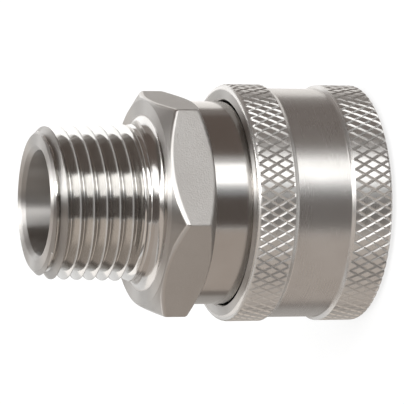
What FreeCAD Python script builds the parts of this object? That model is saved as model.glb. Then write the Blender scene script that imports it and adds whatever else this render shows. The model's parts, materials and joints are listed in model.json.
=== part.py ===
import FreeCAD, Part
import math
import os

import Sketcher

# A straight-through quick coupling, socket half. It stands on its socket mouth, z = 0,
# and its pipe thread points up. All lengths are in millimetres.

SIZES = [
    # Socket and ball lock
    ("socket_bore", 19.0),
    ("socket_depth", 23.4),
    ("mouth_relief", 0.2),
    ("mouth_relief_cover", 0.4),
    ("mouth_chamfer", 0.8),
    ("nose_chamfer", 0.5),
    ("nose_lip", 1.2),
    ("ball_count", 8),
    ("ball_diameter", 4.0),
    ("ball_reach", 1.3),
    ("ball_sink", 0.1),
    ("ball_hole_clearance", 0.1),
    ("ball_seat_clearance", 0.03),
    ("ball_seat_angle", 12.0),
    ("cam_clearance", 0.05),
    # Retaining ring
    ("ring_wire", 1.6),
    ("ring_seat_depth", 0.6),
    ("ring_clearance", 0.02),
    ("ring_groove_room", 0.1),
    ("ring_gap_angle", 12.0),
    ("ring_web", 0.56),
    # Spring
    ("spring_wire", 1.2),
    ("spring_turns", 3.5),
    ("spring_clearance", 0.35),
    ("spring_end_clearance", 0.02),
    ("spring_spare", 0.2),
    # Sleeve
    ("sleeve_recess", 0.5),
    ("sleeve_clearance", 0.2),
    ("sleeve_wall", 1.69),
    ("sleeve_guide", 2.49),
    ("sleeve_mouth_round", 0.5),
    ("sleeve_rim_round", 0.8),
    ("sleeve_inner_chamfer", 0.2),
    ("sleeve_spare", 0.69),
    ("land_clearance", 0.1),
    ("land_cover", 1.0),
    ("knurl_rise", 0.52),
    ("lower_knurl_length", 5.42),
    ("lower_knurl_ramp", 0.4),
    ("upper_knurl_length", 5.3),
    ("upper_knurl_ramp", 0.68),
    # Seal
    ("seal_section", 2.4),
    ("seal_squeeze", 0.4),
    ("seal_clearance", 0.02),
    ("seal_groove_room", 0.7),
    ("seal_back_wall", 1.3),
    # Hexagon
    ("hex_rise", 0.2875),
    ("hex_height", 6.34),
    ("hex_face_inset", 0.23),
    ("hex_front_angle", 34.5),
    ("hex_rear_angle", 31.0),
    # Pipe thread, right-handed. Its groove starts thread_start above the end face, at that angle from +X
    ("thread_end_diameter", 20.715),
    ("thread_taper", 0.0625),
    ("thread_length", 13.3),
    ("thread_pitch", 1.8143),
    ("thread_angle", 60.0),
    ("thread_crest", 0.1),
    ("thread_root", 0.1),
    ("thread_overcut", 0.03),
    ("thread_start", 2.84),
    ("thread_start_angle", -88.6),
    ("thread_runout", 1.5),
    ("thread_chamfer", 1.0),
    ("end_wall", 3.1575),
    ("end_bore_chamfer", 0.55),
    ("neck_length", 1.67),
    ("neck_round", 1.4),
]


class Size:
    """A number together with the expression, in spreadsheet cells, that gives it."""

    def __init__(self, number, text):
        self.number = number
        self.text = text

    def __add__(self, other):
        other = as_size(other)
        return Size(self.number + other.number, f"({self.text} + {other.text})")

    def __sub__(self, other):
        other = as_size(other)
        return Size(self.number - other.number, f"({self.text} - {other.text})")

    def __mul__(self, other):
        other = as_size(other)
        return Size(self.number * other.number, f"({self.text} * {other.text})")

    def __truediv__(self, other):
        other = as_size(other)
        return Size(self.number / other.number, f"({self.text} / {other.text})")

    def __neg__(self):
        return Size(-self.number, f"(-{self.text})")


def as_size(value):
    """A plain number takes part in a formula as it is."""
    if isinstance(value, Size):
        return value
    return Size(float(value), repr(value))


def root(size):
    return Size(math.sqrt(size.number), f"sqrt({size.text})")


def tangent(degrees):
    return Size(math.tan(math.radians(degrees.number)), f"tan({degrees.text} * 1 deg)")


def cosine(degrees):
    return Size(math.cos(math.radians(degrees.number)), f"cos({degrees.text} * 1 deg)")


def sine(degrees):
    return Size(math.sin(math.radians(degrees.number)), f"sin({degrees.text} * 1 deg)")


def arctangent(ratio):
    return Size(math.degrees(math.atan(ratio.number)), f"atan({ratio.text})")


def rounded_up(size):
    return Size(math.ceil(size.number), f"ceil({size.text})")


doc = FreeCAD.newDocument("quick_coupling")
sheet = doc.addObject("Spreadsheet::Sheet", "Sizes")
for row, (alias, number) in enumerate(SIZES, start=1):
    sheet.set(f"A{row}", alias.replace("_", " "))
    sheet.set(f"B{row}", str(number))
    sheet.setAlias(f"B{row}", alias)
doc.recompute()


def cell(alias):
    return Size(float(sheet.get(alias)), f"Sizes.{alias}")


# Radii, from the socket bore outwards
bore_r = cell("socket_bore") / 2
mouth_r = bore_r + cell("mouth_relief")
ball_r = cell("ball_diameter") / 2
ball_at_r = bore_r - cell("ball_reach") + ball_r
nose_r = ball_at_r + ball_r + cell("ball_sink")
body_r = nose_r + cell("spring_wire") + cell("spring_clearance") * 2 - cell("sleeve_clearance")
sleeve_bore_r = body_r + cell("sleeve_clearance")
smooth_r = sleeve_bore_r + cell("sleeve_wall")
knurl_r = smooth_r + cell("knurl_rise")
land_r = nose_r + cell("land_clearance")
ball_hole_r = ball_r + cell("ball_hole_clearance")
ring_r = cell("ring_wire") / 2
ring_root_r = nose_r - cell("ring_seat_depth")
ring_at_r = ring_root_r + ring_r + cell("ring_clearance")
seal_root_r = bore_r - cell("seal_squeeze") + cell("seal_section")
seal_at_r = seal_root_r - cell("seal_clearance") - cell("seal_section") / 2
flat_r = body_r + cell("hex_rise")
corner_r = flat_r * 2 / root(as_size(3))
thread_end_r = cell("thread_end_diameter") / 2
flow_r = thread_end_r - cell("end_wall")
neck_r = thread_end_r + cell("thread_length") * cell("thread_taper") / 2
thread_run = (cell("thread_pitch") - cell("thread_crest") - cell("thread_root")) / 2
thread_depth = thread_run / tangent(cell("thread_angle") / 2)

# Heights of the ring and the balls, from the mouth upwards
ring_half_groove = ring_r + cell("ring_groove_room") / 2
ring_z = cell("nose_lip") + ring_half_groove
ball_drop = ring_half_groove + cell("ring_web") + ball_hole_r
ball_z = ring_z + ball_drop
relief_z = ball_z + ball_hole_r + cell("mouth_relief_cover")

# The cam cone touches the balls and the retaining ring, each with its clearance
cam_rise = ring_at_r - ball_at_r
cam_narrowing = ball_r + cell("cam_clearance") - ring_r - cell("ring_clearance")
cam_reach = ball_drop * ball_drop - cam_narrowing * cam_narrowing
cam_slope = (cam_rise * ball_drop - cam_narrowing * root(cam_reach + cam_rise * cam_rise)) / cam_reach
cam_stretch = root(cam_slope * cam_slope + 1)
cam_r_at_ball = ball_at_r + (ball_r + cell("cam_clearance")) * cam_stretch
cam_top_z = ball_z - (land_r - cam_r_at_ball) / cam_slope


def cam_r(z):
    return cam_r_at_ball + cam_slope * (ball_z - z)


# Heights above the balls: the drawn sleeve frees the balls just before it meets the hexagon
sleeve_travel = cell("ball_reach") / cam_slope
ledge_z = ball_z + ball_r + cell("land_cover")
step_z = ledge_z + cell("spring_wire") * cell("spring_turns") + sleeve_travel + cell("spring_spare")
sleeve_top_z = step_z + cell("sleeve_guide")
hex_rear_z = sleeve_top_z + sleeve_travel + cell("sleeve_spare")
hex_front_z = hex_rear_z + cell("hex_height")
thread_foot_z = hex_front_z + cell("neck_length")
end_z = thread_foot_z + cell("thread_length")
seal_top_z = cell("socket_depth") - cell("seal_back_wall")
seal_low_z = seal_top_z - cell("seal_section") - cell("seal_groove_room")


def origin_feature(body, role):
    return [feature for feature in body.Origin.OriginFeatures if feature.Role == role][0]


def bind(item, path, size):
    item.setExpression(path, size.text)


def outline(body, name, role, points):
    """A closed sketch on one of the body's planes."""
    sketch = body.newObject("Sketcher::SketchObject", name)
    sketch.AttachmentSupport = (origin_feature(body, role), [""])
    sketch.MapMode = "FlatFace"
    draw(sketch, points)
    return sketch


def draw(sketch, points):
    """Straight lines through points, each held by two bound distances."""
    places = [FreeCAD.Vector(across.number, along.number, 0) for across, along in points]
    count = len(points)
    for index, place in enumerate(places):
        sketch.addGeometry(Part.LineSegment(place, places[(index + 1) % count]), False)
    for index in range(count):
        sketch.addConstraint(Sketcher.Constraint("Coincident", index, 2, (index + 1) % count, 1))
    for index, (across, along) in enumerate(points):
        for kind, size in (("DistanceX", across), ("DistanceY", along)):
            hold = sketch.addConstraint(Sketcher.Constraint(kind, -1, 1, index, 1, size.number))
            bind(sketch, f"Constraints[{hold}]", size)


def draw_ring(sketch, across, along, radius):
    """A circle of four quarters about the point (across, along)."""
    centre = FreeCAD.Vector(across.number, along.number, 0)
    circle = Part.Circle(centre, FreeCAD.Vector(0, 0, 1), radius.number)
    quarter = math.pi / 2
    for index in range(4):
        sketch.addGeometry(Part.ArcOfCircle(circle, index * quarter, (index + 1) * quarter), False)
    for index in range(3):
        sketch.addConstraint(Sketcher.Constraint("Coincident", index, 2, index + 1, 1))
        sketch.addConstraint(Sketcher.Constraint("Coincident", index + 1, 3, 0, 3))
    for index, level in enumerate(["Horizontal", "Vertical", "Horizontal", "Vertical"]):
        sketch.addConstraint(Sketcher.Constraint(level, index, 1, index, 3))
    sketch.addConstraint(Sketcher.Constraint("Horizontal", 3, 2, 3, 3))
    for kind, size in (("DistanceX", across), ("DistanceY", along)):
        hold = sketch.addConstraint(Sketcher.Constraint(kind, -1, 1, 0, 3, size.number))
        bind(sketch, f"Constraints[{hold}]", size)
    hold = sketch.addConstraint(Sketcher.Constraint("Radius", 0, radius.number))
    bind(sketch, f"Constraints[{hold}]", radius)


def section_sketch(name, angle):
    """An empty sketch for a section that is swept, upright at that angle from +X."""
    sketch = doc.addObject("Sketcher::SketchObject", name)
    sketch.Placement.Rotation = FreeCAD.Rotation(angle, 0, 90)
    return sketch


def swept(name, section, path):
    """A solid of the section along the path, which has one turn to an edge."""
    path.SegmentLength = 1
    solid = doc.addObject("Part::Sweep", name)
    solid.Sections = [section]
    solid.Spine = (path, [])
    solid.Solid = True
    solid.Frenet = True
    return solid


def turned(body, name, points):
    """A solid of revolution about Z from points (radius, height)."""
    sketch = outline(body, f"{name}_outline", "XZ_Plane", points)
    solid = body.newObject("PartDesign::Revolution", name)
    solid.Profile = sketch
    solid.ReferenceAxis = (sketch, ["V_Axis"])
    solid.Angle = 360
    sketch.Visibility = False
    doc.recompute()
    return solid


def rounded(body, name, base, rings, radius):
    """Rounds the circular edges of base that lie at the (radius, height) pairs in rings."""
    names = []
    for index, edge in enumerate(base.Shape.Edges, start=1):
        if not isinstance(edge.Curve, Part.Circle):
            continue
        for ring_radius, ring_height in rings:
            near_radius = abs(edge.Curve.Radius - ring_radius.number) < 1e-4
            near_height = abs(edge.Curve.Center.z - ring_height.number) < 1e-4
            if near_radius and near_height:
                names.append(f"Edge{index}")
    fillet = body.newObject("PartDesign::Fillet", name)
    fillet.Base = (base, names)
    bind(fillet, "Radius", radius)
    body.Tip = fillet
    doc.recompute()
    return fillet


def make_coupling_body():
    """The body, with its pipe thread cut last."""
    threaded = doc.addObject("Part::Cut", "coupling_body")
    threaded.Base = make_coupling_blank()
    threaded.Tool = make_thread_tool()
    doc.recompute()
    return threaded


def make_coupling_blank():
    """The turned body: nose, guide cylinder, hexagon and plain thread cone, bored right through."""
    body = doc.addObject("PartDesign::Body", "coupling_blank")
    zero = as_size(0)
    hex_face_r = flat_r - cell("hex_face_inset")
    front_drop = (corner_r - hex_face_r) * tangent(cell("hex_front_angle"))
    rear_drop = (corner_r - body_r) * tangent(cell("hex_rear_angle"))
    chamfer_top_r = thread_end_r - cell("thread_chamfer")
    chamfer_foot_r = thread_end_r + cell("thread_chamfer") * cell("thread_taper") / 2
    blank = turned(body, "blank", [
        (mouth_r + cell("mouth_chamfer"), zero),
        (mouth_r, cell("mouth_chamfer")),
        (mouth_r, relief_z),
        (bore_r, relief_z + cell("mouth_relief")),
        (bore_r, seal_low_z),
        (seal_root_r, seal_low_z),
        (seal_root_r, seal_top_z),
        (bore_r, seal_top_z),
        (bore_r, cell("socket_depth")),
        (flow_r, cell("socket_depth")),
        (flow_r, end_z - cell("end_bore_chamfer")),
        (flow_r + cell("end_bore_chamfer"), end_z),
        (chamfer_top_r, end_z),
        (chamfer_foot_r, end_z - cell("thread_chamfer")),
        (neck_r, thread_foot_z),
        (neck_r, hex_front_z),
        (hex_face_r, hex_front_z),
        (corner_r, hex_front_z - front_drop),
        (corner_r, hex_rear_z + rear_drop),
        (body_r, hex_rear_z),
        (body_r, step_z),
        (nose_r, step_z),
        (nose_r, ring_z + ring_half_groove),
        (ring_root_r, ring_z + ring_half_groove),
        (ring_root_r, ring_z - ring_half_groove),
        (nose_r, ring_z - ring_half_groove),
        (nose_r, cell("nose_chamfer")),
        (nose_r - cell("nose_chamfer"), zero),
    ])
    rounded(body, "neck_fillet", blank, [(neck_r, hex_front_z)], cell("neck_round"))
    cut_hexagon(body)
    cut_ball_holes(body)
    return body


def make_thread_tool():
    """The thread's groove: a V swept along a taper helix, and run out over a cone at the foot."""
    turns = rounded_up((cell("thread_length") + cell("thread_start")) / cell("thread_pitch") + 0.5)
    height = turns * cell("thread_pitch")
    foot_z = end_z + cell("thread_start") - height
    foot_r = thread_end_r + (end_z - foot_z) * cell("thread_taper") / 2
    root_r = foot_r - thread_depth
    groove_r = foot_r + cell("thread_overcut")
    half_root = cell("thread_root") / 2
    half_mouth = half_root + thread_run + cell("thread_overcut") * tangent(cell("thread_angle") / 2)
    helix = doc.addObject("Part::Helix", "thread_helix")
    bind(helix, "Radius", root_r)
    bind(helix, "Height", height)
    bind(helix, "Pitch", cell("thread_pitch"))
    bind(helix, "Angle", -arctangent(cell("thread_taper") / 2))
    bind(helix, "Placement.Base.z", foot_z)
    start_angle = cell("thread_start_angle").number
    helix.Placement.Rotation = FreeCAD.Rotation(start_angle, 0, 0)
    section = section_sketch("thread_section", start_angle)
    draw(section, [
        (root_r, foot_z - half_root),
        (groove_r, foot_z - half_mouth),
        (groove_r, foot_z + half_mouth),
        (root_r, foot_z + half_root),
    ])
    foot = doc.addObject("PartDesign::Body", "thread_foot")
    outer_r = neck_r + thread_depth
    inner_r = neck_r - thread_depth * 2
    turned(foot, "runout_cone", [
        (inner_r, hex_rear_z),
        (outer_r, hex_rear_z),
        (outer_r, thread_foot_z - cell("thread_runout")),
        (inner_r, thread_foot_z + cell("thread_runout") * 2),
    ])
    tool = doc.addObject("Part::Cut", "thread_tool")
    tool.Base = swept("thread_groove", section, helix)
    tool.Tool = foot
    doc.recompute()
    return tool


def cut_hexagon(body):
    """Mills six flats on the collar. Two of them face along X."""
    side = corner_r / 2
    zero = as_size(0)
    corners = [
        (flat_r, -side),
        (flat_r, side),
        (zero, corner_r),
        (-flat_r, side),
        (-flat_r, -side),
        (zero, -corner_r),
    ]
    sketch = outline(body, "hexagon_outline", "XY_Plane", corners)
    bind(sketch, "AttachmentOffset.Base.z", hex_rear_z)
    rim = Part.Circle(FreeCAD.Vector(0, 0, 0), FreeCAD.Vector(0, 0, 1), corner_r.number * 2)
    circle = sketch.addGeometry(rim, False)
    sketch.addConstraint(Sketcher.Constraint("Coincident", circle, 3, -1, 1))
    hold = sketch.addConstraint(Sketcher.Constraint("Radius", circle, corner_r.number * 2))
    bind(sketch, f"Constraints[{hold}]", corner_r * 2)
    flats = body.newObject("PartDesign::Pocket", "flats")
    flats.Profile = sketch
    flats.Reversed = True
    bind(flats, "Length", cell("hex_height"))
    sketch.Visibility = False
    body.Tip = flats
    doc.recompute()


def cut_ball_holes(body):
    """Radial holes through the nose, tapered at the bore so that no ball drops through."""
    taper = tangent(cell("ball_seat_angle"))
    seat_r = (ball_r + cell("ball_seat_clearance")) / cosine(cell("ball_seat_angle"))
    inner_at = ball_at_r - ball_r
    outer_at = nose_r + ball_r
    inner_r = seat_r - ball_r * taper
    taper_end_at = ball_at_r - (seat_r - ball_hole_r) / taper
    sketch = outline(body, "ball_hole_outline", "XZ_Plane", [
        (inner_at, ball_z),
        (inner_at, ball_z + inner_r),
        (taper_end_at, ball_z + ball_hole_r),
        (outer_at, ball_z + ball_hole_r),
        (outer_at, ball_z),
    ])
    start = FreeCAD.Vector(inner_at.number, ball_z.number, 0)
    stop = FreeCAD.Vector(outer_at.number, ball_z.number, 0)
    axis = sketch.addGeometry(Part.LineSegment(start, stop), True)
    sketch.addConstraint(Sketcher.Constraint("Coincident", axis, 1, 0, 1))
    sketch.addConstraint(Sketcher.Constraint("Coincident", axis, 2, 4, 1))
    hole = body.newObject("PartDesign::Groove", "ball_hole")
    hole.Profile = sketch
    hole.ReferenceAxis = (sketch, ["Axis0"])
    hole.Angle = 360
    sketch.Visibility = False
    doc.recompute()
    ring = body.newObject("PartDesign::PolarPattern", "ball_holes")
    ring.Originals = [hole]
    ring.Axis = (origin_feature(body, "Z_Axis"), [""])
    ring.Angle = 360
    bind(ring, "Occurrences", cell("ball_count"))
    body.Tip = ring
    doc.recompute()


def make_locking_sleeve():
    """The sliding sleeve: guide bore, spring pocket, locking land and cam cone, with two bands outside."""
    body = doc.addObject("PartDesign::Body", "locking_sleeve")
    low_z = cell("sleeve_recess")
    lower_band_z = low_z + cell("lower_knurl_length")
    upper_band_z = sleeve_top_z - cell("upper_knurl_length")
    chamfer = cell("sleeve_inner_chamfer")
    blank = turned(body, "sleeve_blank", [
        (cam_r(low_z + chamfer) + chamfer, low_z),
        (knurl_r, low_z),
        (knurl_r, lower_band_z),
        (smooth_r, lower_band_z + cell("lower_knurl_ramp")),
        (smooth_r, upper_band_z - cell("upper_knurl_ramp")),
        (knurl_r, upper_band_z),
        (knurl_r, sleeve_top_z),
        (sleeve_bore_r + chamfer, sleeve_top_z),
        (sleeve_bore_r, sleeve_top_z - chamfer),
        (sleeve_bore_r, ledge_z),
        (land_r, ledge_z),
        (land_r, cam_top_z),
        (cam_r(low_z + chamfer), low_z + chamfer),
    ])
    edged = rounded(body, "sleeve_mouth_edge", blank, [(knurl_r, low_z)], cell("sleeve_mouth_round"))
    rounded(body, "sleeve_rim_edge", edged, [(knurl_r, sleeve_top_z)], cell("sleeve_rim_round"))
    return body


def make_sleeve_spring():
    """A round-wire spring with ends ground flat, in the pocket between the ledge and the step."""
    coil_r = nose_r + cell("spring_clearance") + cell("spring_wire") / 2
    ground = cell("spring_wire") / 4
    height = step_z - ledge_z - ground * 2
    coil = doc.addObject("Part::Helix", "spring_coil")
    bind(coil, "Radius", coil_r)
    bind(coil, "Height", height)
    bind(coil, "Pitch", height / cell("spring_turns"))
    bind(coil, "Placement.Base.z", ledge_z + ground)
    section = section_sketch("spring_section", 0)
    draw_ring(section, coil_r, ledge_z + ground, cell("spring_wire") / 2)
    pocket = doc.addObject("Part::Cylinder", "spring_pocket")
    bind(pocket, "Radius", sleeve_bore_r)
    bind(pocket, "Height", step_z - ledge_z - cell("spring_end_clearance") * 2)
    bind(pocket, "Placement.Base.z", ledge_z + cell("spring_end_clearance"))
    spring = doc.addObject("Part::Common", "sleeve_spring")
    spring.Base = swept("spring_rod", section, coil)
    spring.Tool = pocket
    doc.recompute()
    return spring


def make_ball(number):
    """Ball number, counted from 1 at +X, seated as far in as its hole lets it."""
    ball = doc.addObject("Part::Sphere", f"lock_ball_{number}")
    turn = as_size(360) * (number - 1) / cell("ball_count")
    bind(ball, "Radius", ball_r)
    bind(ball, "Placement.Base.x", ball_at_r * cosine(turn))
    bind(ball, "Placement.Base.y", ball_at_r * sine(turn))
    bind(ball, "Placement.Base.z", ball_z)
    return ball


def make_retaining_ring():
    """An open ring of round wire, snapped into the groove at the nose."""
    ring = doc.addObject("Part::Torus", "retaining_ring")
    bind(ring, "Radius1", ring_at_r)
    bind(ring, "Radius2", ring_r)
    bind(ring, "Angle3", as_size(360) - cell("ring_gap_angle"))
    bind(ring, "Placement.Base.z", ring_z)
    return ring


def make_seal_ring():
    """An O-ring in its groove. It stands into the bore by the squeeze that a plug gives it."""
    ring = doc.addObject("Part::Torus", "seal_ring")
    bind(ring, "Radius1", seal_at_r)
    bind(ring, "Radius2", cell("seal_section") / 2)
    bind(ring, "Placement.Base.z", (seal_low_z + seal_top_z) / 2)
    return ring


def check(pieces):
    """Stops before anything is written if a feature failed or a piece isn't one valid solid."""
    for item in doc.Objects:
        if "Invalid" in item.State or "Error" in item.State:
            raise RuntimeError(f"{item.Name} failed: {item.State}")
    for piece in pieces:
        if piece.Shape.isNull() or not piece.Shape.isValid() or len(piece.Shape.Solids) != 1:
            raise RuntimeError(f"{piece.Label} isn't one valid solid")


pieces = [make_coupling_body(), make_locking_sleeve(), make_sleeve_spring()]
pieces += [make_ball(number) for number in range(1, int(cell("ball_count").number) + 1)]
pieces += [make_retaining_ring(), make_seal_ring()]
doc.recompute()
check(pieces)

os.makedirs("parts", exist_ok=True)
for piece in pieces:
    piece.Shape.exportStep(f"parts/{piece.Label}.step")
    print(f"{piece.Label}: {piece.Shape.Volume:.1f} mm3")
print(f"ball height {ball_z.number:.4f}, sleeve travel {sleeve_travel.number:.4f} mm")
print(f"cam slope {cam_slope.number:.6f}, step {step_z.number:.4f}, ledge {ledge_z.number:.4f}")
print(f"hexagon {hex_rear_z.number:.4f} to {hex_front_z.number:.4f}, end {end_z.number:.4f}")
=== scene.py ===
"""Looks of a straight-through quick coupling: a stainless socket with a pipe thread and a knurled sleeve.

It stands on its mouth, and the camera is rolled a quarter turn, so the picture shows it lying down.
"""

import json
import math

import bmesh
import bpy
import numpy as np
from mathutils import Matrix, Vector


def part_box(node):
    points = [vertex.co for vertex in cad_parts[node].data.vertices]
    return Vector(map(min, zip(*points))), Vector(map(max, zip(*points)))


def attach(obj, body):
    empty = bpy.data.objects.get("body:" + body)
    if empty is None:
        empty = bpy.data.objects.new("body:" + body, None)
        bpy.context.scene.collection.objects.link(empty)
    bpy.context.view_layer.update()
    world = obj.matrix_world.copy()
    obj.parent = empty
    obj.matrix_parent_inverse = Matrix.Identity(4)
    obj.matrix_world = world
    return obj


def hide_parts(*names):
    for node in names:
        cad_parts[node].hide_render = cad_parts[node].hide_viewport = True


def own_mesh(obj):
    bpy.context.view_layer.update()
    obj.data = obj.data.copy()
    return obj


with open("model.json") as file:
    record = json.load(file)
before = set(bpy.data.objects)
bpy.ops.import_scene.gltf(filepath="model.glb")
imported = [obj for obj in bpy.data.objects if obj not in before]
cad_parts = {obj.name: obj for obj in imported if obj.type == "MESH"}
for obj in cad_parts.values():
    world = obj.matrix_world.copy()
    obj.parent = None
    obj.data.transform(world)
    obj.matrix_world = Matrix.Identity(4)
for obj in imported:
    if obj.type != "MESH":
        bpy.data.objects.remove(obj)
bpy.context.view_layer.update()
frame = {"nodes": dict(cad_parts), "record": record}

MM = 0.001
TURN = 2 * math.pi

# Sizes that the frame gives, in metres
mounts = {mount["name"]: mount for mount in frame["record"]["mounts"]}
body_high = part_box("coupling_body")[1]
sleeve_low, sleeve_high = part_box("locking_sleeve")
spring_low, spring_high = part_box("sleeve_spring")
ball_low, ball_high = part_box("lock_ball_1")
ring_low, ring_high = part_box("retaining_ring")
seal_low, seal_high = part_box("seal_ring")

BORE_R = mounts["plug_bore"]["dims"]["r_mm"] * MM
FLOW_R = mounts["flow_bore"]["dims"]["r_mm"] * MM
THREAD_LENGTH = mounts["pipe_thread"]["dims"]["length_mm"] * MM
END_Z = body_high.z
CORNER_R = body_high.y
KNURL_R = sleeve_high.x
SLEEVE_LOW_Z = sleeve_low.z
SLEEVE_TOP_Z = sleeve_high.z
BALL_R = (ball_high.z - ball_low.z) / 2
BALL_Z = (ball_high.z + ball_low.z) / 2
BALL_AT_R = (ball_high.x + ball_low.x) / 2
BALL_COUNT = sum(node.startswith("lock_ball_") for node in frame["nodes"])
RING_Z = (ring_high.z + ring_low.z) / 2
SEAL_Z = (seal_high.z + seal_low.z) / 2

# Meshes. An eased edge takes at most EASE_SHARE of the stretch beside it.
WELD = 0.0002 * MM
EDGE_EASE = 0.12 * MM
EASE_SHARE = 0.4
SHARP_ANGLE = math.radians(32)
LARGE_FACE_WEIGHT = 100

# Body
BODY_R = 14.0 * MM
NOSE_R = 12.3 * MM
MOUTH_R = 9.7 * MM
MOUTH_CHAMFER = 0.8 * MM
MOUTH_RELIEF_Z = 8.06 * MM
NOSE_CHAMFER = 0.5 * MM
RING_ROOT_R = 11.7 * MM
RING_HALF_GROOVE = 0.85 * MM
SEAL_ROOT_R = 11.5 * MM
SEAL_HALF_GROOVE = 1.55 * MM
SOCKET_DEPTH = 23.4 * MM
END_BORE_CHAMFER = 0.55 * MM
BODY_COLUMNS = 288
ANGLE_DIGITS = 9

# Ball holes
BALL_HOLE_R = BALL_R + 0.1 * MM
BALL_SEAT_R = BALL_R + 0.03 * MM
BALL_SEAT_ANGLE = math.radians(12)
BALL_HOLE_SIDES = 48

# Hexagon, with corner columns at these degrees from each corner
HEX_SIDES = 6
HEX_STEP = math.pi / 3
HEX_HALF_STEP = math.pi / 6
FLAT_R = CORNER_R * math.cos(HEX_HALF_STEP)
HEX_REAR_Z = 24.937 * MM
HEX_FRONT_Z = HEX_REAR_Z + 6.34 * MM
HEX_FACE_R = FLAT_R - 0.23 * MM
HEX_FRONT_SLOPE = math.tan(math.radians(34.5))
HEX_REAR_SLOPE = math.tan(math.radians(31))
HEX_CORNER_ROUND = 0.3 * MM
HEX_CORNER_COLUMNS = (-0.9, -0.6, -0.3, 0.3, 0.6, 0.9)
HEX_EDGE_EASE = 0.36 * MM
HEX_EDGE_STEPS = 4
NECK_ROUND = 1.4 * MM
NECK_STEPS = 8

# Taper pipe thread, right-handed. One point of its crest is at CREST_ANGLE and CREST_Z.
PITCH = 25.4 / 14 * MM
THREAD_TAPER = 1 / 32
THREAD_HALF_ANGLE = math.radians(30)
THREAD_END_R = 10.3575 * MM
THREAD_CHAMFER = 1.0 * MM
CREST_SHARE = 0.1 * MM / PITCH
ROOT_SHARE = 0.1 * MM / PITCH
THREAD_DEPTH = PITCH * (1 - CREST_SHARE - ROOT_SHARE) / 2 / math.tan(THREAD_HALF_ANGLE)
THREAD_FOOT_Z = END_Z - THREAD_LENGTH
THREAD_RUNOUT = 1.5 * MM
THREAD_LEAD_IN = 0.7 * MM
CREST_Z = END_Z - 3.51 * MM
CREST_ANGLE = math.radians(-88.6)
FLANK_POINTS = 5
SPARE_TURNS_BELOW = 3
SPARE_TURNS_ABOVE = 2

# The faced land beside the first crest, and the angle over which it narrows to nothing
FIRST_LAND = 0.66 * MM
FIRST_LAND_FADE = TURN / 4

# Sleeve, with a cam cone inside that just clears the balls
SMOOTH_R = KNURL_R - 0.52 * MM
SLEEVE_BORE_R = 14.2 * MM
LAND_R = 12.4 * MM
SLEEVE_MOUTH_ROUND = 0.5 * MM
SLEEVE_RIM_ROUND = 0.8 * MM
SLEEVE_CHAMFER = 0.2 * MM
SPRING_END_CLEARANCE = 0.02 * MM
LEDGE_Z = spring_low.z - SPRING_END_CLEARANCE
STEP_Z = spring_high.z + SPRING_END_CLEARANCE
LOWER_BAND_TOP_Z = SLEEVE_LOW_Z + 5.42 * MM
LOWER_RAMP = 0.4 * MM
UPPER_BAND_FOOT_Z = SLEEVE_TOP_Z - 5.3 * MM
UPPER_RAMP = 0.68 * MM
CAM_SLOPE = 0.295556
CAM_CLEARANCE = 0.05 * MM
CAM_AT_BALL_R = BALL_AT_R + (BALL_R + CAM_CLEARANCE) * math.hypot(1, CAM_SLOPE)
CAM_TOP_Z = BALL_Z - (LAND_R - CAM_AT_BALL_R) / CAM_SLOPE
CAM_LOW_Z = SLEEVE_LOW_Z + SLEEVE_CHAMFER
CAM_LOW_R = CAM_AT_BALL_R + (BALL_Z - CAM_LOW_Z) * CAM_SLOPE

# Diamond knurl. One diamond has KNURL_STEPS columns and rows of the mesh, and the half groove and the
# shifts are counted in them.
DIAMONDS = 72
KNURL_STEPS = 12
KNURL_AXIAL_PITCH = 2.5 * MM
KNURL_DEPTH = 0.14 * MM
KNURL_HALF_GROOVE = 2
KNURL_FADE = 0.14 * MM
LOWER_KNURL_SHIFT = (-2, -5)
UPPER_KNURL_SHIFT = (-2, 0)

# Spring
SPRING_WIRE_R = 0.6 * MM
SPRING_COIL_R = NOSE_R + 0.35 * MM + SPRING_WIRE_R
SPRING_TURNS = 3.5
SPRING_STEPS = 84
SPRING_SIDES = 20


# Mesh helpers

def polar(angles, radius, height):
    """Points at these angles about Z. Radius and height are numbers or one value for each angle."""
    radius = np.broadcast_to(radius, angles.shape)
    height = np.broadcast_to(height, angles.shape)
    return np.column_stack((radius * np.cos(angles), radius * np.sin(angles), height))


def arc(centre, radius, start, stop, steps):
    """Points (r, z) of an arc from start to stop degrees, measured from the r axis."""
    turns = np.radians(np.linspace(start, stop, steps + 1))
    return [(centre[0] + radius * math.cos(a), centre[1] + radius * math.sin(a)) for a in turns]


def eased(points, size):
    """The outline (r, z) with each corner between its ends broken by a small round of that size."""
    outline = [np.array(point) for point in points]
    result = [outline[0]]
    for before, corner, after in zip(outline, outline[1:], outline[2:]):
        back, on = before - corner, after - corner
        start = corner + back * min(size / np.linalg.norm(back), EASE_SHARE)
        stop = corner + on * min(size / np.linalg.norm(on), EASE_SHARE)
        result += [start, (start + corner * 2 + stop) / 4, stop]
    return result + [outline[-1]]


def link_object(name, data):
    """A new object in the scene, with this mesh, camera or lamp."""
    thing = bpy.data.objects.new(name, data)
    bpy.context.scene.collection.objects.link(thing)
    return thing


def link_mesh(name, work):
    """Turns a finished bmesh, with its faces all facing outwards, into an object in the scene."""
    bmesh.ops.recalc_face_normals(work, faces=work.faces)
    mesh = bpy.data.meshes.new(name)
    work.to_mesh(mesh)
    work.free()
    return link_object(name, mesh)


def add_tube(work, rings, smooth):
    """Joins rings of vertices into a tube and closes both of its ends."""
    for low, high in zip(rings, rings[1:]):
        count = len(low)
        for i in range(count):
            after = (i + 1) % count
            work.faces.new((low[i], low[after], high[after], high[i])).smooth = smooth
    work.faces.new(rings[0][::-1])
    work.faces.new(rings[-1])


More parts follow.
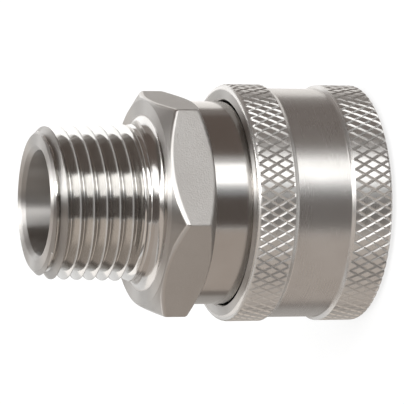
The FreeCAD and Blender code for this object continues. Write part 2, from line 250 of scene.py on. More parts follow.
class Skin:
    """A mesh built up from closed loops of points, joined by bands of faces that each have a finish."""

    def __init__(self, angles):
        self.angles = angles
        self.points = []
        self.faces = []
        self.finishes = []

    def loop(self, radius, height):
        """Adds a loop about the axis and returns the index of its first point."""
        first = len(self.points)
        self.points.extend(polar(self.angles, radius, height))
        return first

    def face(self, corners, finish):
        """Adds a face, given the indices of its corners."""
        self.faces.append(corners)
        self.finishes.append(finish)

    def band(self, low, high, finish):
        """Joins two loops by quads."""
        count = len(self.angles)
        for i in range(count):
            after = (i + 1) % count
            self.face((low + i, low + after, high + after, high + i), finish)

    def turn(self, outline, finish):
        """Adds a loop for each point (r, z) of an outline, with a band from each to the next."""
        loops = [self.loop(radius, height) for radius, height in outline]
        for low, high in zip(loops, loops[1:]):
            self.band(low, high, finish)

    def build(self, name, materials):
        """Welds the loops into one closed mesh and returns it as an object. Materials are by finish."""
        order = list(materials)
        work = bmesh.new()
        vertices = [work.verts.new(point) for point in self.points]
        for corners, finish in zip(self.faces, self.finishes):
            face = work.faces.new([vertices[i] for i in corners])
            face.material_index = order.index(finish)
            face.smooth = True
        bmesh.ops.remove_doubles(work, verts=work.verts, dist=WELD)
        bmesh.ops.dissolve_degenerate(work, edges=work.edges, dist=WELD)
        piece = link_mesh(name, work)
        for finish in order:
            piece.data.materials.append(materials[finish])
        return piece


def finish_shading(piece):
    """Keeps real edges sharp, and lets large faces rule the shading of the small rounds beside them."""
    piece.data.set_sharp_from_angle(angle=SHARP_ANGLE)
    normals = piece.modifiers.new("large_faces_first", "WEIGHTED_NORMAL")
    normals.keep_sharp = True
    normals.weight = LARGE_FACE_WEIGHT


def store_depth(piece, depth_of):
    """Stores on each point how deep it lies in a groove, from 0 to 1, for the finish to read."""
    points = np.empty(len(piece.data.vertices) * 3)
    piece.data.vertices.foreach_get("co", points)
    x, y, z = points.reshape(-1, 3).T
    depth = np.clip(depth_of(np.hypot(x, y), z), 0, 1)
    piece.data.attributes.new("groove", "FLOAT", "POINT").data.foreach_set("value", depth)


# Node helpers

# Places of a Map Range node's limits, and of a Mix node's two colours and their result
RANGE_LIMITS = slice(1, 5)
MIX_COLOURS = slice(6, 8)
MIX_RESULT = 2


class Finish:
    """A material in the making: its nodes, its Principled shader and short ways to link them."""

    def __init__(self, name):
        self.material = bpy.data.materials.new(name)
        self.material.use_nodes = True
        self.nodes = self.material.node_tree.nodes
        self.links = self.material.node_tree.links
        self.shader = self.nodes["Principled BSDF"]
        self.place = self.nodes.new("ShaderNodeTexCoord").outputs["Object"]

    def noise(self, scale, detail=2.0, roughness=0.5):
        """Noise at a scale in cycles per metre, a number or one for each axis."""
        place = self.place
        if isinstance(scale, tuple):
            place = self.stretched(scale)
            scale = 1.0
        node = self.nodes.new("ShaderNodeTexNoise")
        node.inputs["Scale"].default_value = scale
        node.inputs["Detail"].default_value = detail
        node.inputs["Roughness"].default_value = roughness
        self.links.new(place, node.inputs["Vector"])
        return node.outputs["Fac"]

    def stretched(self, scale):
        """The object's own coordinates, times one number for each axis."""
        node = self.nodes.new("ShaderNodeMapping")
        node.inputs["Scale"].default_value = scale
        self.links.new(self.place, node.inputs["Vector"])
        return node.outputs["Vector"]

    def attribute(self, name):
        """A value that is stored on the mesh."""
        node = self.nodes.new("ShaderNodeAttribute")
        node.attribute_name = name
        return node.outputs["Fac"]

    def ranged(self, value, low, high, start=0.0, stop=1.0):
        """Maps value from start..stop to low..high."""
        node = self.nodes.new("ShaderNodeMapRange")
        for socket, number in zip(node.inputs[RANGE_LIMITS], (start, stop, low, high)):
            socket.default_value = number
        self.links.new(value, node.inputs["Value"])
        return node.outputs["Result"]

    def combine(self, operation, first, second):
        """The sum, product or larger of two values, as the operation says."""
        node = self.nodes.new("ShaderNodeMath")
        node.operation = operation
        self.links.new(first, node.inputs[0])
        self.links.new(second, node.inputs[1])
        return node.outputs[0]

    def blend(self, share, first, second):
        """A colour that goes from first to second, each a colour or a socket, by share."""
        node = self.nodes.new("ShaderNodeMix")
        node.data_type = "RGBA"
        self.links.new(share, node.inputs["Factor"])
        for socket, colour in zip(node.inputs[MIX_COLOURS], (first, second)):
            if isinstance(colour, tuple):
                socket.default_value = (*colour, 1)
            else:
                self.links.new(colour, socket)
        return node.outputs[MIX_RESULT]

    def bump(self, height, distance, under=None):
        """A normal tilted by a height of up to this distance, on top of another bump if one is given."""
        node = self.nodes.new("ShaderNodeBump")
        node.inputs["Distance"].default_value = distance
        node.inputs["Strength"].default_value = 1.0
        self.links.new(height, node.inputs["Height"])
        if under:
            self.links.new(under, node.inputs["Normal"])
        return node.outputs["Normal"]

    def complete(self, **sockets):
        """Links or sets the shader's sockets, named with underscores for spaces. Gives the material."""
        for name, value in sockets.items():
            socket = self.shader.inputs[name.replace("_", " ")]
            if isinstance(value, bpy.types.NodeSocket):
                self.links.new(value, socket)
            else:
                socket.default_value = value
        return self.material


# Finishes

STEEL = (0.56, 0.55, 0.535)
STEEL_BRIGHT = (0.64, 0.63, 0.61)
STEEL_MILLED = (0.5, 0.49, 0.475)
STEEL_DULL = (0.47, 0.45, 0.43)
# The darker colour deep in grooves: painted shade with some grime
STEEL_SHADE_AND_GRIME = (0.4, 0.375, 0.35)
STEEL_LAPPED = (0.62, 0.62, 0.63)
STEEL_DRAWN = (0.3, 0.29, 0.28)
RUBBER = (0.012, 0.012, 0.013)
RUBBER_BLOOM = (0.035, 0.034, 0.033)

# The share of a groove's depth that handling has worn
WORN_DEPTH = 0.2


def turned_steel(name, roughness, line_depth, haze=0.0):
    """Steel off the lathe: fine rings along the axis, a soft cloudiness and stray scratches.

    Haze is the share of the surface that scatters light evenly, as a satin finish does.
    """
    steel = Finish(name)
    rings = steel.noise((60, 60, 14000), detail=3)
    cloud = steel.noise(260, detail=4)
    scratches = steel.noise((900, 900, 5200), detail=1)
    lines = steel.bump(rings, line_depth)
    nicks = steel.bump(steel.ranged(scratches, 0, 1, start=0.68, stop=0.8), line_depth, under=lines)
    return steel.complete(
        Base_Color=steel.blend(cloud, STEEL, STEEL_DULL),
        Metallic=1 - haze,
        Roughness=steel.combine(
            "ADD",
            steel.ranged(rings, roughness * 0.75, roughness * 1.1),
            steel.ranged(cloud, 0, roughness * 0.3),
        ),
        Normal=nicks,
    )


def milled_steel(name):
    """The hexagon's flats: drawn bar with a fine, even grain."""
    steel = Finish(name)
    grain = steel.noise(4200, detail=3, roughness=0.65)
    drawn = steel.noise((3800, 3800, 500), detail=2)
    cloud = steel.noise(200, detail=3)
    pits = steel.bump(grain, 0.05 * MM)
    return steel.complete(
        Base_Color=steel.blend(cloud, STEEL_MILLED, STEEL_DULL),
        Metallic=1.0,
        Roughness=steel.combine("ADD", steel.ranged(grain, 0.42, 0.6), steel.ranged(cloud, 0, 0.08)),
        Normal=steel.bump(drawn, 0.004 * MM, under=pits),
    )


def grooved_steel(name, roughness, shade_and_grime, haze, wear):
    """Steel of the thread and the knurl: duller deep in its grooves and darker there by painted shade with
    some grime, bright along its tops.

    The darkening deep in the grooves is painted shade with some grime; its argument says how far they go
    to the darker colour. Haze is the share of the surface that scatters light evenly, and wear is that
    share along the tops, where handling has rubbed them.
    """
    steel = Finish(name)
    depth = steel.attribute("groove")
    cloud = steel.noise(420, detail=4)
    tool_marks = steel.noise((700, 700, 9000), detail=3)
    # Painted shade with some grime, deep in the grooves and patchy with the cloud
    deep_shade_and_grime = steel.ranged(depth, 0, shade_and_grime, start=0.3)
    shade_and_grime_share = steel.combine("MULTIPLY", deep_shade_and_grime, steel.ranged(cloud, 0.5, 1))
    return steel.complete(
        Base_Color=steel.blend(shade_and_grime_share, steel.blend(cloud, STEEL_BRIGHT, STEEL), STEEL_SHADE_AND_GRIME),
        Metallic=steel.ranged(depth, 1 - wear, 1 - haze, stop=WORN_DEPTH),
        Roughness=steel.combine(
            "ADD",
            steel.ranged(depth, roughness, roughness * 1.35),
            steel.ranged(tool_marks, -0.04, 0.06),
        ),
        Normal=steel.bump(tool_marks, 0.003 * MM),
    )


def bored_steel(name, low, high):
    """Bores and faced ends: feed lines round the axis, which spread the light across them.

    Low and high are the limits of its roughness.
    """
    steel = Finish(name)
    rings = steel.noise((120, 120, 9000), detail=3)
    cloud = steel.noise(300, detail=4)
    tangent = steel.nodes.new("ShaderNodeTangent")
    tangent.direction_type = "RADIAL"
    tangent.axis = "Z"
    return steel.complete(
        Base_Color=steel.blend(cloud, STEEL, STEEL_DULL),
        Metallic=1.0,
        Roughness=steel.ranged(rings, low, high),
        Anisotropic=1.0,
        Anisotropic_Rotation=0.25,
        Tangent=tangent.outputs["Tangent"],
        Normal=steel.bump(rings, 0.001 * MM),
    )


def ball_steel(name):
    """Hardened balls, lapped almost to a mirror, with faint wear tracks."""
    steel = Finish(name)
    wear = steel.noise(1500, detail=3)
    return steel.complete(
        Base_Color=steel.blend(wear, STEEL_LAPPED, STEEL_DULL),
        Metallic=1.0,
        Roughness=steel.ranged(wear, 0.06, 0.2, start=0.3, stop=0.8),
        Normal=steel.bump(wear, 0.001 * MM),
    )


def wire_steel(name):
    """Drawn spring wire: slightly dark, with die lines along it."""
    steel = Finish(name)
    lines = steel.noise((2600, 2600, 9000), detail=2)
    cloud = steel.noise(500, detail=3)
    return steel.complete(
        Base_Color=steel.blend(cloud, STEEL_DULL, STEEL_DRAWN),
        Metallic=1.0,
        Roughness=steel.ranged(lines, 0.25, 0.42),
        Normal=steel.bump(lines, 0.004 * MM),
    )


def seal_rubber(name):
    """Black moulded rubber with a faint bloom and fine pores."""
    rubber = Finish(name)
    bloom = rubber.noise(350, detail=4)
    pores = rubber.noise(6000, detail=2)
    return rubber.complete(
        Base_Color=rubber.blend(bloom, RUBBER, RUBBER_BLOOM),
        Roughness=rubber.ranged(bloom, 0.42, 0.62),
        Normal=rubber.bump(pores, 0.008 * MM),
    )


# Body

def body_angles():
    """Even columns, with more of them close to the hexagon's corners."""
    even = np.arange(BODY_COLUMNS) * TURN / BODY_COLUMNS
    corners = HEX_HALF_STEP + np.arange(HEX_SIDES) * HEX_STEP
    near_corners = corners[:, None] + np.radians(HEX_CORNER_COLUMNS)
    return np.unique(np.round(np.concatenate((even, near_corners.ravel())), ANGLE_DIGITS))


def thread_radius(angles, height):
    """Radius of the threaded surface: a tapered V groove, run out at the foot and chamfered at the end."""
    along = (height - CREST_Z) / PITCH - (angles - CREST_ANGLE) / TURN
    from_crest = np.abs(along - np.round(along))
    depth = np.clip((from_crest - CREST_SHARE / 2) / (0.5 - CREST_SHARE / 2 - ROOT_SHARE / 2), 0, 1)
    down = END_Z - height
    fade = np.clip((height - THREAD_FOOT_Z) / THREAD_RUNOUT, 0, 1) * np.clip(down / THREAD_LEAD_IN, 0, 1)
    crest = THREAD_END_R + down * THREAD_TAPER
    chamfer = THREAD_END_R - THREAD_CHAMFER + down
    return np.minimum(crest - THREAD_DEPTH * depth * fade, chamfer)


def thread_finish(corners):
    """The finish of a face of the thread, by its corners: the end chamfer and the first land are faced.

    Ahead is the angle round the axis from the land's narrow start, half a turn from CREST_ANGLE.
    """
    x, y, height = sum(corners) / len(corners)
    ahead = (math.atan2(y, x) - CREST_ANGLE + math.pi) % TURN
    above_first_crest = height - CREST_Z - PITCH * (ahead / TURN + 0.5)
    on_land = 0 < above_first_crest < FIRST_LAND * min(ahead / FIRST_LAND_FADE, 1)
    reach = [math.hypot(*corner[:2]) + corner[2] for corner in corners]
    on_chamfer = all(END_Z + THREAD_END_R - THREAD_CHAMFER - out < WELD for out in reach)
    return "faced" if on_chamfer or on_land else "thread"


def add_thread(skin):
    """Adds the thread in rows that follow the helix, cut square at its foot and at the end face.

    The rows start and stop spare turns beyond both, so that each column reaches from the foot to the end.
    """
    flank = np.linspace(CREST_SHARE / 2, 0.5 - ROOT_SHARE / 2, FLANK_POINTS)
    shares = np.concatenate((flank, 1 - flank[::-1]))
    first = math.floor((THREAD_FOOT_Z - CREST_Z) / PITCH) - SPARE_TURNS_BELOW
    last = math.ceil((END_Z - CREST_Z) / PITCH) + SPARE_TURNS_ABOVE
    rows = (np.arange(first, last)[:, None] + shares).ravel()
    loops = []
    for row in rows:
        height = CREST_Z + PITCH * (row + (skin.angles - CREST_ANGLE) / TURN)
        height = np.clip(height, THREAD_FOOT_Z, END_Z)
        loops.append(skin.loop(thread_radius(skin.angles, height), height))

    def add_face(*corners):
        skin.face(corners, thread_finish([skin.points[i] for i in corners]))

    last_column = len(skin.angles) - 1
    for low, high in zip(loops, loops[1:]):
        for i in range(last_column):
            add_face(low + i, low + i + 1, high + i + 1, high + i)
    turn = len(shares)
    for k in range(len(rows) - turn - 1):
        low, high = loops[k], loops[k + 1]
        add_face(low + last_column, loops[k + turn], loops[k + turn + 1], high + last_column)


def add_neck(skin):
    """Adds the neck, which rounds out from the thread's foot into the front face of the hexagon."""
    neck_r = THREAD_END_R + THREAD_LENGTH * THREAD_TAPER
    centre = (neck_r + NECK_ROUND, HEX_FRONT_Z + NECK_ROUND)
    neck = [(neck_r, THREAD_FOOT_Z)] + arc(centre, NECK_ROUND, 180, 270, NECK_STEPS)
    skin.turn(neck, "neck")
    skin.turn([neck[-1], (HEX_FACE_R, HEX_FRONT_Z)], "faced")


def hexagon_radius(angles):
    """Distance from the axis to the hexagon's outline, whose corners are rounded."""
    off_corner = np.abs(angles % HEX_STEP - HEX_HALF_STEP)
    flat = FLAT_R / np.cos(HEX_HALF_STEP - off_corner)
    centre = (FLAT_R - HEX_CORNER_ROUND) / math.cos(HEX_HALF_STEP)
    aside = centre * np.sin(off_corner)
    rounded = centre * np.cos(off_corner) + np.sqrt(np.maximum(HEX_CORNER_ROUND ** 2 - aside ** 2, 0))
    return np.where(aside < HEX_CORNER_ROUND / 2, rounded, flat)


def hexagon_edge(radius, cone_r, cone_z, slope):
    """Loops that round the edge where the flats meet a chamfer cone. Slope is negative at the front."""
    edge = np.array((radius, cone_z + (radius - cone_r) * slope))
    on_cone = np.minimum(HEX_EDGE_EASE, (radius - cone_r) * EASE_SHARE)
    cone_side = edge - np.array((on_cone, on_cone * slope))
    flat_side = edge + np.array([[0], [math.copysign(HEX_EDGE_EASE, slope)]])
    shares = np.linspace(0, 1, HEX_EDGE_STEPS + 1)
    return [cone_side * (1 - t) ** 2 + edge * 2 * t * (1 - t) + flat_side * t ** 2 for t in shares]


def add_hexagon(skin):
    """Adds the hexagon, from its front chamfer to the guide cylinder behind it."""
    outline = hexagon_radius(skin.angles)
    front = hexagon_edge(outline, HEX_FACE_R, HEX_FRONT_Z, -HEX_FRONT_SLOPE)
    rear = hexagon_edge(outline, BODY_R, HEX_REAR_Z, HEX_REAR_SLOPE)
    skin.turn([(HEX_FACE_R, HEX_FRONT_Z), front[0]], "faced")
    skin.turn(front, "edge")
    skin.turn([front[-1], *rear[::-1], (BODY_R, HEX_REAR_Z)], "hexagon")


def add_guide_and_nose(skin):
    """Adds the guide cylinder, the step that the spring presses on, and the nose with its ring groove."""
    outline = [
        (BODY_R, HEX_REAR_Z),
        (BODY_R, STEP_Z),
        (NOSE_R, STEP_Z),
        (NOSE_R, RING_Z + RING_HALF_GROOVE),
        (RING_ROOT_R, RING_Z + RING_HALF_GROOVE),
        (RING_ROOT_R, RING_Z - RING_HALF_GROOVE),
        (NOSE_R, RING_Z - RING_HALF_GROOVE),
        (NOSE_R, NOSE_CHAMFER),
        (NOSE_R - NOSE_CHAMFER, 0),
        (MOUTH_R + MOUTH_CHAMFER, 0),
        (MOUTH_R, MOUTH_CHAMFER),
    ]
    skin.turn(eased(outline, EDGE_EASE), "turned")


def add_bores(skin):
    """Adds the socket with its seal groove, the flow bore and the end face."""
    bores = [
        (MOUTH_R, MOUTH_CHAMFER),
        (MOUTH_R, MOUTH_RELIEF_Z),
        (BORE_R, MOUTH_RELIEF_Z + MOUTH_R - BORE_R),
        (BORE_R, SEAL_Z - SEAL_HALF_GROOVE),
        (SEAL_ROOT_R, SEAL_Z - SEAL_HALF_GROOVE),
        (SEAL_ROOT_R, SEAL_Z + SEAL_HALF_GROOVE),
        (BORE_R, SEAL_Z + SEAL_HALF_GROOVE),
        (BORE_R, SOCKET_DEPTH),
        (FLOW_R, SOCKET_DEPTH),
        (FLOW_R, END_Z - END_BORE_CHAMFER),
    ]
    skin.turn(eased(bores, EDGE_EASE), "bore")
    end_face = [bores[-1], (FLOW_R + END_BORE_CHAMFER, END_Z), (THREAD_END_R - THREAD_CHAMFER, END_Z)]
    skin.turn(eased(end_face, EDGE_EASE), "faced")


def ball_hole_cutters():
    """Tapered plugs, one for each ball hole in the nose."""
    taper = math.tan(BALL_SEAT_ANGLE)
    seat_r = BALL_SEAT_R / math.cos(BALL_SEAT_ANGLE)
    stations = [
        (BALL_AT_R - BALL_R, seat_r - BALL_R * taper),
        (BALL_AT_R + (BALL_HOLE_R - seat_r) / taper, BALL_HOLE_R),
        (NOSE_R + BALL_R / 2, BALL_HOLE_R),
    ]
    sides = np.arange(BALL_HOLE_SIDES) * TURN / BALL_HOLE_SIDES
    work = bmesh.new()
    for number in range(BALL_COUNT):
        turn = Matrix.Rotation(TURN * number / BALL_COUNT, 3, "Z")
        rings = []
        for out, radius in stations:
            ring = [Vector((out, radius * math.cos(a), BALL_Z + radius * math.sin(a))) for a in sides]
            rings.append([work.verts.new(turn @ point) for point in ring])
        add_tube(work, rings, smooth=False)
    return link_mesh("ball_hole_cutters", work)


def drill(piece, cutters):
    """Cuts the cutters out of the piece and removes them."""
    cut = piece.modifiers.new("holes", "BOOLEAN")
    cut.operation = "DIFFERENCE"
    cut.solver = "EXACT"
    cut.object = cutters
    bpy.context.view_layer.update()
    drilled = piece.evaluated_get(bpy.context.evaluated_depsgraph_get())
    result = bpy.data.meshes.new_from_object(drilled)
    piece.modifiers.clear()
    piece.data = result
    bpy.data.objects.remove(cutters)


def thread_depth(radius, height):
    """How deep the body's points lie in the thread. Its run-out counts as unworn."""
    crest = THREAD_END_R + (END_Z - height) * THREAD_TAPER
    depth = (crest - radius) / THREAD_DEPTH
    running_out = height < THREAD_FOOT_Z + THREAD_RUNOUT
    depth = np.where(running_out, np.maximum(depth, WORN_DEPTH), depth)
    on_thread = (height > THREAD_FOOT_Z) & (radius > FLOW_R + END_BORE_CHAMFER)
    return np.where(on_thread, depth, 0)


def make_body(materials):
    """The turned body: taper thread, neck, hexagon, guide cylinder, nose and bores."""
    skin = Skin(body_angles())
    add_thread(skin)
    add_neck(skin)
    add_hexagon(skin)
    add_guide_and_nose(skin)
    add_bores(skin)
    body = skin.build("coupling_body_detailed", materials)
    drill(body, ball_hole_cutters())
    finish_shading(body)
    store_depth(body, thread_depth)
    return body


# Sleeve

def knurl_groove(line):
    """Depth of one set of knurl grooves, from 0 to 1, by the mesh steps across it."""
    from_line = np.minimum(line % KNURL_STEPS, -line % KNURL_STEPS)
    return np.clip(1 - from_line / KNURL_HALF_GROOVE, 0, 1)


def add_knurl(skin, foot_z, face_z, edge_round, plain, shift):
    """Adds a knurled band, from its foot over the rounded edge to the sleeve's end face.

    Its last stretch, as long as plain, has no knurl. The grooves run along the diagonals of the mesh, so
    that they stay clean edges. Shift is where one diamond starts, in columns and rows of the mesh.
    """
    side = math.copysign(1, face_z - foot_z)
    straight = abs(face_z - foot_z) - edge_round
    length = straight + edge_round * math.pi / 2
    steps = round(length / (KNURL_AXIAL_PITCH / KNURL_STEPS))
    columns = np.arange(len(skin.angles)) - shift[0]
    loops = []
    for row in range(steps + 1):
        along = length * row / steps
        bend = max(along - straight, 0) / edge_round
        fade = max(min(1, along / KNURL_FADE, (length - plain - along) / KNURL_FADE), 0)
        down = row - shift[1]
        groove = np.maximum(knurl_groove(columns + down), knurl_groove(columns - down))
        reach = edge_round - groove * fade * KNURL_DEPTH
        height = min(along, straight) + reach * math.sin(bend)
        loops.append(skin.loop(KNURL_R - edge_round + reach * math.cos(bend), foot_z + side * height))
    count = len(columns)
    for row, (low, high) in enumerate(zip(loops, loops[1:])):
        if length * row / steps >= length - plain:
            skin.band(low, high, "smooth")
            continue
        for i in range(count):
            after = (i + 1) % count
            rising = (columns[i] - row + shift[1]) % KNURL_STEPS
            if min(rising, KNURL_STEPS - rising) in (0, KNURL_HALF_GROOVE):
                skin.face((low + i, low + after, high + after), "knurl")
                skin.face((low + i, high + after, high + i), "knurl")
            else:
                skin.face((low + i, low + after, high + i), "knurl")
                skin.face((low + after, high + after, high + i), "knurl")


def add_waist(skin):
    """Adds the smooth band between the knurled ones, with a ramp at each end."""
    waist = [
        (KNURL_R, LOWER_BAND_TOP_Z),
        (SMOOTH_R, LOWER_BAND_TOP_Z + LOWER_RAMP),
        (SMOOTH_R, UPPER_BAND_FOOT_Z - UPPER_RAMP),
        (KNURL_R, UPPER_BAND_FOOT_Z),
    ]
    skin.turn(eased(waist, EDGE_EASE), "smooth")


def knurl_depth(radius, height):
    """How deep the sleeve's points lie in the knurl."""
    lower = (height > SLEEVE_LOW_Z + SLEEVE_MOUTH_ROUND) & (height < LOWER_BAND_TOP_Z)
    upper = (height > UPPER_BAND_FOOT_Z) & (height < SLEEVE_TOP_Z - SLEEVE_RIM_ROUND)
    return np.where((lower | upper) & (radius > SMOOTH_R), (KNURL_R - radius) / KNURL_DEPTH, 0)


def make_sleeve(materials):
    """The sliding sleeve: a smooth band between two knurled ones, and its guide, pocket and cam inside."""
    skin = Skin(np.arange(DIAMONDS * KNURL_STEPS) * TURN / (DIAMONDS * KNURL_STEPS))
    mouth = (CAM_LOW_R + SLEEVE_CHAMFER, SLEEVE_LOW_Z)
    rim = (SLEEVE_BORE_R + SLEEVE_CHAMFER, SLEEVE_TOP_Z)
    inside = [
        rim,
        (SLEEVE_BORE_R, SLEEVE_TOP_Z - SLEEVE_CHAMFER),
        (SLEEVE_BORE_R, LEDGE_Z),
        (LAND_R, LEDGE_Z),
        (LAND_R, CAM_TOP_Z),
        (CAM_LOW_R, CAM_LOW_Z),
        mouth,
    ]
    skin.turn([mouth, (KNURL_R - SLEEVE_MOUTH_ROUND, SLEEVE_LOW_Z)], "turned")
    add_knurl(skin, LOWER_BAND_TOP_Z, SLEEVE_LOW_Z, SLEEVE_MOUTH_ROUND, 0, LOWER_KNURL_SHIFT)
    add_waist(skin)
    add_knurl(skin, UPPER_BAND_FOOT_Z, SLEEVE_TOP_Z, SLEEVE_RIM_ROUND, SLEEVE_RIM_ROUND, UPPER_KNURL_SHIFT)
    skin.turn([(KNURL_R - SLEEVE_RIM_ROUND, SLEEVE_TOP_Z), rim], "faced")
    skin.turn(inside, "turned")
    sleeve = skin.build("locking_sleeve_detailed", materials)
    finish_shading(sleeve)
    store_depth(sleeve, knurl_depth)
    return sleeve


# Spring

def make_spring(material):
    """The sleeve spring: round wire, with both ends ground flat."""
    ground = SPRING_WIRE_R / 2
    foot_z, top_z = LEDGE_Z + ground, STEP_Z - ground
    stations = np.linspace(0, 1, round(SPRING_TURNS * SPRING_STEPS) + 1)
    sides = np.arange(SPRING_SIDES) * TURN / SPRING_SIDES
    work = bmesh.new()
    rings = []
    for share in stations:
        angle = share * SPRING_TURNS * TURN
        middle_z = foot_z + share * (top_z - foot_z)
        ring = []
        for side in sides:
            radius = SPRING_COIL_R + SPRING_WIRE_R * math.cos(side)
            height = min(max(middle_z + SPRING_WIRE_R * math.sin(side), spring_low.z), spring_high.z)
            ring.append(work.verts.new((radius * math.cos(angle), radius * math.sin(angle), height)))
        rings.append(ring)
    add_tube(work, rings, smooth=True)
    spring = link_mesh("sleeve_spring_detailed", work)
    spring.data.materials.append(material)
    spring.data.set_sharp_from_angle(angle=SHARP_ANGLE)
    return spring


# Camera, at the photograph's viewpoint. The lens and its sensor are in millimetres.

VIEW_TURN = math.radians(10.73)
VIEW_PITCH = math.radians(18.22)
TOWARDS_CAMERA = Vector((math.sin(VIEW_TURN), -math.cos(VIEW_TURN), 0))
PICTURE_UP = Vector((math.cos(VIEW_TURN), math.sin(VIEW_TURN), 0))
UPWARDS = Vector((0, 0, 1))
CAMERA_AWAY = 406.87 * MM
CAMERA_ASIDE = 0.09 * MM
CAMERA_ABOVE_END = 110.11 * MM
CAMERA_NEAREST = 10 * MM
LENS_LENGTH = 276.3
SENSOR_WIDTH = 36


def add_camera():
    """A camera on the thread's side that looks down by VIEW_PITCH, rolled a quarter turn."""
    forward = -TOWARDS_CAMERA * math.cos(VIEW_PITCH) - UPWARDS * math.sin(VIEW_PITCH)
    right = TOWARDS_CAMERA * math.sin(VIEW_PITCH) - UPWARDS * math.cos(VIEW_PITCH)
    away = TOWARDS_CAMERA * CAMERA_AWAY + PICTURE_UP * CAMERA_ASIDE + UPWARDS * CAMERA_ABOVE_END
    turn = Matrix((right, PICTURE_UP, -forward)).transposed()
    camera = link_object("camera", bpy.data.cameras.new("camera"))
    camera.data.sensor_width = SENSOR_WIDTH
    camera.data.lens = LENS_LENGTH
    camera.data.clip_start = CAMERA_NEAREST
    camera.matrix_world = Matrix.Translation(away + UPWARDS * END_Z) @ turn.to_4x4()
    bpy.context.scene.camera = camera


# Floor, with the colours that it shows and the one that it lights the part with

FLOOR_R = 4
FLOOR_SIDES = 96
FLOOR_GREY = (0.27, 0.27, 0.27)
FLOOR_PALE_GREY = (0.29, 0.29, 0.29)
FLOOR_GLOW = 0.76
FLOOR_BOUNCE = (0.9, 0.9, 0.9)


def add_floor():
    """A plain white floor that keeps a soft shadow. The steel looks past it to the studio's cards."""
    bpy.ops.mesh.primitive_circle_add(vertices=FLOOR_SIDES, radius=FLOOR_R, fill_type="NGON")
    floor = bpy.context.object
    floor.name = "floor"
    paint = Finish("floor_white")
    shown = paint.blend(paint.noise(90), FLOOR_GREY, FLOOR_PALE_GREY)
    path = paint.nodes.new("ShaderNodeLightPath")
    seen = paint.combine("MAXIMUM", path.outputs["Is Camera Ray"], path.outputs["Is Glossy Ray"])
    seen = paint.combine("MAXIMUM", seen, path.outputs["Is Transmission Ray"])
    paint.complete(
        Base_Color=paint.blend(seen, FLOOR_BOUNCE, shown),
        Roughness=1.0,
        Specular_IOR_Level=0.0,
        Emission_Color=(1, 1, 1, 1),
        Emission_Strength=paint.ranged(seen, 0, FLOOR_GLOW),
    )
    floor.data.materials.append(paint.material)
    floor.visible_glossy = False


# Lamps, and the glowing cards round the part

WORLD_STRENGTH = 0.95
KEY_SIZE = 0.6
KEY_POWER = 3
KEY_PLACE = TOWARDS_CAMERA * 0.5 + PICTURE_UP * 0.4 + UPWARDS * 0.8
CARD_DISTANCE = 0.7
CARD_STEPS = 24
CEILING_Z = 0.75
CEILING_REACH = 0.8
WHITE = (1, 1, 1)
CREAM = (1, 0.97, 0.94)
PALE_SAND = (1, 0.95, 0.9)
SAND = (1, 0.9, 0.84)
DEEP_SAND = (1, 0.9, 0.82)
TAN = (1, 0.89, 0.8)
BROWN = (1, 0.85, 0.77)


def add_glow(name, points, faces, colour, strength):
    """A glowing studio card that only reflections show."""
    mesh = bpy.data.meshes.new(name)
    mesh.from_pydata(points, [], faces)
    card = link_object(name, mesh)
    glow = bpy.data.materials.new(name)
    glow.use_nodes = True
    nodes = glow.node_tree.nodes
    nodes.clear()
    emission = nodes.new("ShaderNodeEmission")
    emission.inputs["Color"].default_value = (*colour, 1)
    emission.inputs["Strength"].default_value = strength
    output = nodes.new("ShaderNodeOutputMaterial")
    glow.node_tree.links.new(emission.outputs[0], output.inputs["Surface"])
    mesh.materials.append(glow)
    card.visible_camera = False
    card.visible_diffuse = False
    card.visible_shadow = False


def add_card(name, turns, heights, colour, strength):
    """A curved card around the coupling.

    Turns are degrees from the camera's side, up in the picture; heights are degrees above the horizon.
    """
    low, high = (CARD_DISTANCE * math.tan(math.radians(height)) for height in heights)
    points = []
    for turn in np.radians(np.linspace(*turns, CARD_STEPS + 1)):
        out = (TOWARDS_CAMERA * math.cos(turn) + PICTURE_UP * math.sin(turn)) * CARD_DISTANCE
        points += [out + UPWARDS * low, out + UPWARDS * high]
    faces = [(2 * i, 2 * i + 2, 2 * i + 3, 2 * i + 1) for i in range(CARD_STEPS)]
    add_glow(name, points, faces, colour, strength)


def add_strip(name, start, stop, colour, strength):
    """A flat card overhead. Start and stop are metres from the axis, up in the picture."""
    ends = [TOWARDS_CAMERA * CEILING_REACH, -TOWARDS_CAMERA * CEILING_REACH]
    points = [end + PICTURE_UP * side + UPWARDS * CEILING_Z for end in ends for side in (start, stop)]
    add_glow(name, points, [(0, 1, 3, 2)], colour, strength)


def add_lamps():
    """Even white surroundings, and a soft key lamp that reflections don't show."""
    world = bpy.data.worlds.new("white_studio")
    world.use_nodes = True
    background = world.node_tree.nodes["Background"]
    background.inputs["Color"].default_value = (*WHITE, 1)
    background.inputs["Strength"].default_value = WORLD_STRENGTH
    bpy.context.scene.world = world
    key = link_object("key", bpy.data.lights.new("key", "AREA"))
    key.data.shape = "DISK"
    key.data.size = KEY_SIZE
    key.data.energy = KEY_POWER
    key.visible_glossy = False
    key.location = KEY_PLACE
    key.rotation_euler = (-key.location).to_track_quat("-Z", "Y").to_euler()


def add_softbox():
    """The white band along the part: a softbox above the camera, dim at its edges and near the floor."""
    cylinder_heights = (-30, -7)
    add_card("softbox_rim", (8, 15), cylinder_heights, (0.96, 0.98, 1), 0.4)
    add_card("softbox_edge", (15, 21), cylinder_heights, (0.97, 0.99, 1), 0.95)
    add_card("softbox_low", (21, 34), cylinder_heights, WHITE, 2.8)
    add_card("softbox_high", (36, 44), cylinder_heights, WHITE, 2.6)
    add_card("softbox_fade", (44, 53), cylinder_heights, (1, 0.98, 0.96), 0.65)
    add_card("softbox_top", (13, 53), (-7, 44), WHITE, 2.45)
    add_card("softbox_foot", (13, 53), (-42, -31), WHITE, 3.2)
    add_card("softbox_floor", (13, 62), (-62, -42), PALE_SAND, 0.15)


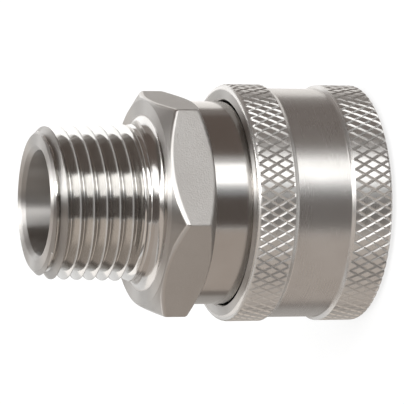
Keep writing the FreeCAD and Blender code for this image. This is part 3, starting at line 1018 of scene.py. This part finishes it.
def add_dark_room():
    """The dark bands on both sides of the white one: the room behind the camera, and the ceiling."""
    add_card("dark_room", (-28, 8), (-62, 44), BROWN, 0.14)
    add_card("dark_room_top", (8, 13), (-7, 44), BROWN, 0.14)
    add_card("dark_room_foot", (8, 13), (-62, -30), BROWN, 0.14)
    add_card("dark_ceiling", (53, 117), (-30, 44), (1, 0.81, 0.71), 0.18)
    add_card("dark_ceiling_foot", (53, 117), (-44, -30), (1, 0.83, 0.73), 0.16)
    add_card("dark_floor", (62, 117), (-62, -44), (1, 0.87, 0.78), 0.16)


def add_back():
    """The light upper edge of the part: the far side of the ceiling, and lights behind the part."""
    add_card("ceiling_edge", (117, 134), (-62, 0), SAND, 0.3)
    add_card("back_side", (117, 142), (2, 44), SAND, 0.4)
    add_card("ceiling_far", (134, 175), (-62, 0), CREAM, 1.25)
    add_card("back_light", (142, 171), (2, 42), WHITE, 1.7)
    add_card("back_gap", (171, 186), (0, 46), CREAM, 0.8)
    add_card("back_fill", (-175, -120), (22, 46), CREAM, 1.5)


def add_table():
    """The warm bands on the lower half of the part, as from a table under it."""
    add_card("warm_table", (-118, -30), (-30, 8), (1, 0.88, 0.79), 0.6)
    add_card("warm_table_foot", (-130, -30), (-45, -30), TAN, 1.05)
    add_card("warm_floor", (-130, -30), (-62, -45), TAN, 0.45)
    add_card("warm_wall", (-130, -30), (8, 44), (1, 0.91, 0.84), 0.65)
    add_card("table_edge", (-130, -118), (-30, 8), (1, 0.88, 0.8), 0.25)
    add_card("table_far", (-174, -130), (-62, 0), PALE_SAND, 0.5)


def add_strips():
    """The light and dark sectors of the faced ends, which look straight up."""
    add_strip("strip_dark_high", 0.285, 0.8, (1, 0.88, 0.8), 0.13)
    add_strip("strip_light", 0.02, 0.14, WHITE, 2.25)
    add_strip("strip_bright", 0.14, 0.28, WHITE, 8)
    add_strip("strip_dark", -0.1, 0.02, DEEP_SAND, 0.11)
    add_strip("strip_warm", -0.5, -0.1, DEEP_SAND, 0.8)
    add_strip("strip_gap", -0.6, -0.5, DEEP_SAND, 0.2)


# Putting it together

turned = turned_steel("turned_steel", roughness=0.17, line_depth=0.0012 * MM)
brushed = turned_steel("brushed_steel", roughness=0.24, line_depth=0.0025 * MM, haze=0.12)
faced = bored_steel("faced_steel", 0.46, 0.56)
body = make_body({
    "turned": turned,
    "neck": turned_steel("neck_steel", roughness=0.16, line_depth=0.002 * MM),
    "edge": turned_steel("edge_steel", roughness=0.28, line_depth=0.0012 * MM),
    # The thread darkens deep in its grooves by painted shade with some grime
    "thread": grooved_steel("thread_steel", roughness=0.1, shade_and_grime=0.08, haze=0.02, wear=0.38),
    "hexagon": milled_steel("hexagon_steel"),
    "bore": bored_steel("bored_steel", 0.4, 0.5),
    "faced": faced,
})
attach(body, "body")
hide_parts("coupling_body")

sleeve = make_sleeve({
    "turned": turned,
    "smooth": brushed,
    "faced": faced,
    # The knurl darkens deep in its grooves by painted shade with some grime
    "knurl": grooved_steel("knurl_steel", roughness=0.28, shade_and_grime=0.25, haze=0.1, wear=0.1),
})
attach(sleeve, "sleeve")
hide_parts("locking_sleeve")

spring = make_spring(wire_steel("spring_wire"))
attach(spring, "spring")
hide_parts("sleeve_spring")
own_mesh(spring)

lapped = ball_steel("lapped_ball_steel")
kept_nodes = {f"lock_ball_{number}": lapped for number in range(1, BALL_COUNT + 1)}
kept_nodes["retaining_ring"] = wire_steel("ring_wire")
kept_nodes["seal_ring"] = seal_rubber("seal_rubber")
for node, material in kept_nodes.items():
    frame["nodes"][node].data.materials.clear()
    frame["nodes"][node].data.materials.append(material)

add_camera()
add_floor()
add_lamps()
add_softbox()
add_dark_room()
add_back()
add_table()
add_strips()
bpy.context.scene.view_settings.view_transform = "Standard"
